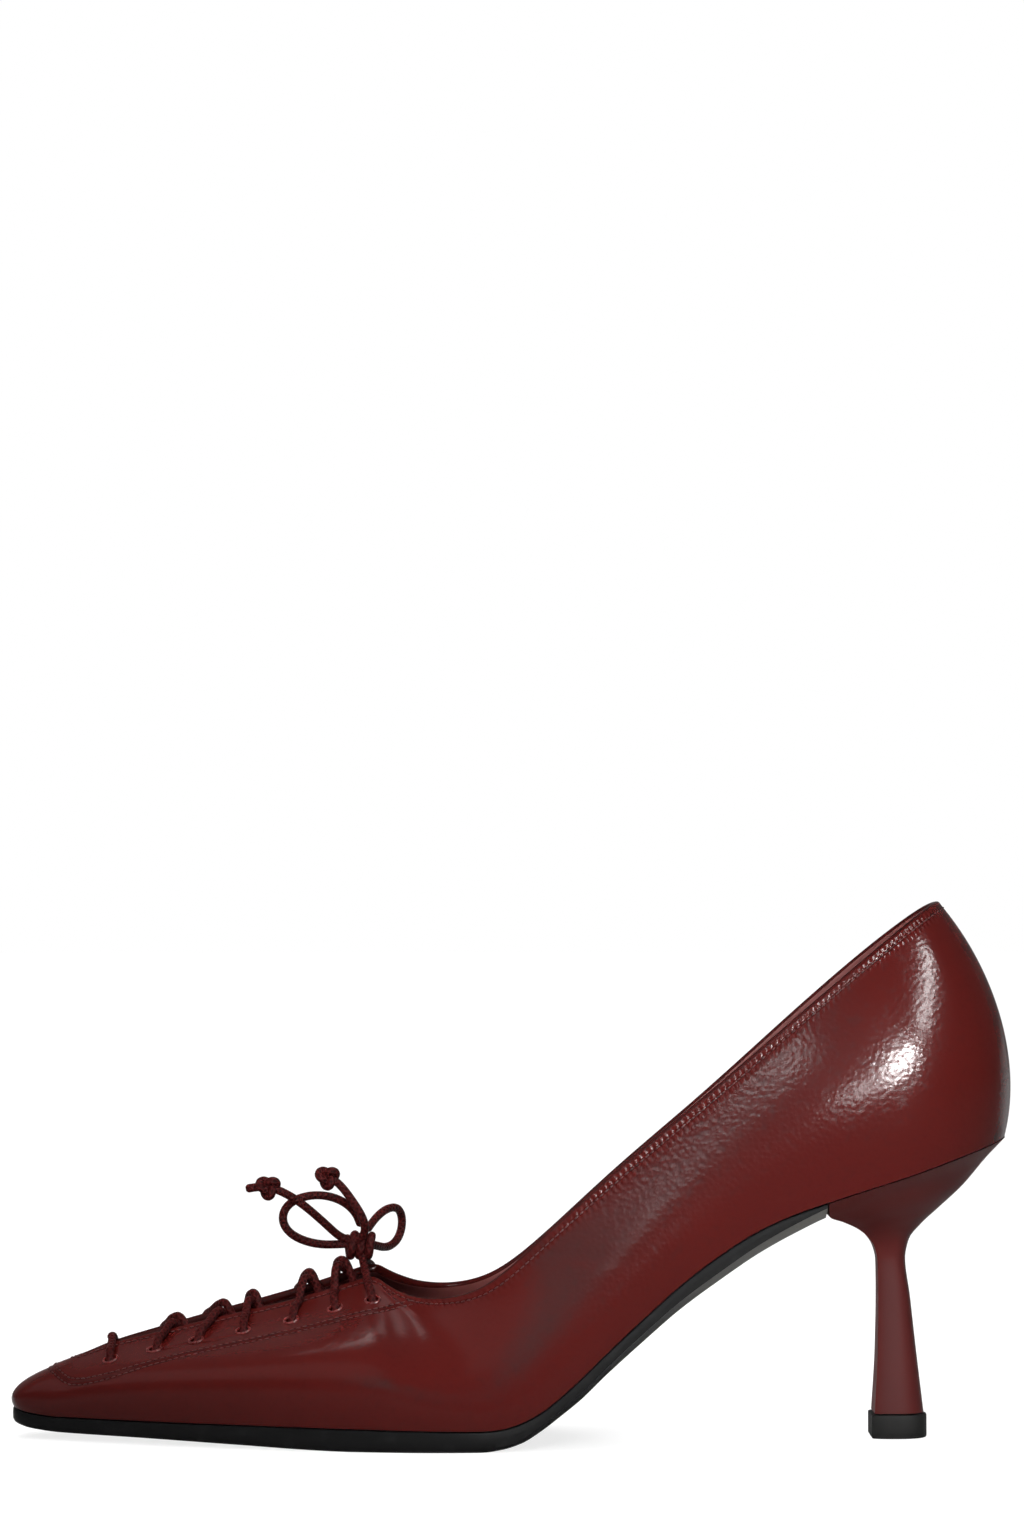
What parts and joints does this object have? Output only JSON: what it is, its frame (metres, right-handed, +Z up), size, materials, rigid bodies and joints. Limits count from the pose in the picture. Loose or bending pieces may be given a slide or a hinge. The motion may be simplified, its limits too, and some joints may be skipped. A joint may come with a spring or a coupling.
{
  "type": "laced pointed toe pump",
  "caption": "Pointed toe court shoe of burgundy leather, laced over the forefoot with a thin cord tied in a bow, on a slim high heel with a thin black sole.",
  "frame": {"origin": "on the floor, under the middle of the shoe's length and width", "axes": "+X towards the heel, the toe points along -X; +Y towards the inner side of the foot; +Z up"},
  "size_m": [0.238, 0.0746, 0.1275],
  "materials": {
    "burgundy_leather": "polished",
    "heel_cover": "satin",
    "black_sole": "satin",
    "top_piece_rubber": "matt",
    "sock_leather": "matt",
    "lace_cord": "waxed braid"
  },
  "bodies": {
    "root": {"upper": "burgundy_leather", "outsole": "black_sole", "insole": "sock_leather", "heel": "heel_cover", "top_piece": "top_piece_rubber", "lace_bar": "lace_cord", "lace_rise": "lace_cord", "lace_knot": "lace_cord", "lace_loop_front": "lace_cord", "lace_loop_back": "lace_cord", "lace_end_front": "lace_cord", "lace_end_back": "lace_cord", "lace_cross_1": "lace_cord", "lace_cross_2": "lace_cord", "lace_cross_3": "lace_cord", "lace_cross_4": "lace_cord", "lace_cross_5": "lace_cord"}
  },
  "joints": []
}
